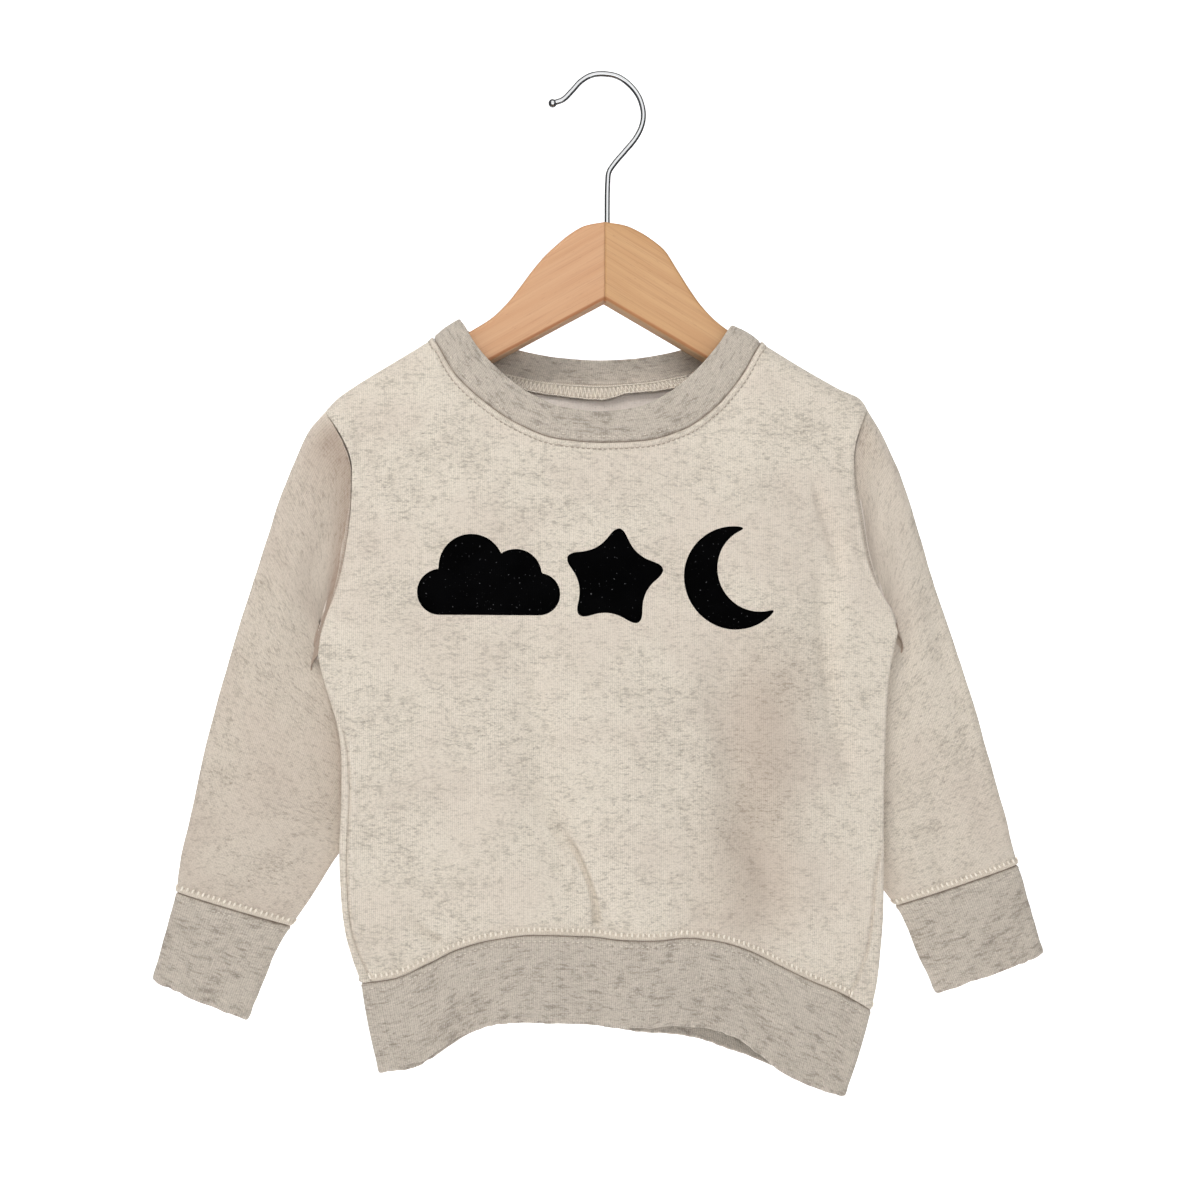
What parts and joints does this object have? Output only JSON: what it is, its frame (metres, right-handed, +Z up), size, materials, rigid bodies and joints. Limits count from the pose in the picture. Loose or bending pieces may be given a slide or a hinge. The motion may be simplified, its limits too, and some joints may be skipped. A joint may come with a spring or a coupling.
{
  "type": "crewneck sweatshirt on a hanger",
  "caption": "Small long-sleeved crewneck sweatshirt in heather fleece with ribbed neck, cuffs and hem, hanging on a flat wooden hanger with a wire hook.",
  "frame": {"origin": "underside of the hook's crown, where a rail or peg bears on it, in the garment's front-to-back middle plane", "axes": "+Z up, +X to the right of someone facing the front, the front of the garment faces -Y"},
  "size_m": [0.4848, 0.0329, 0.5724],
  "materials": {
    "fleece": "brushed-back fleece, oatmeal heather with fine grey flecks, matt and slightly fuzzy",
    "rib": "fine rib knit, greyer heather with cross streaks, matt",
    "wood": "light beech, clear satin lacquer",
    "hook_metal": "bright plated wire"
  },
  "bodies": {
    "root": {"front": "fleece", "back": "fleece", "sleeve_left": "fleece", "sleeve_right": "fleece", "neck_rib": "rib", "cuff_left": "rib", "cuff_right": "rib", "hem_band": "rib", "hanger_left": "wood", "hanger_right": "wood", "hook": "hook_metal"}
  },
  "joints": []
}
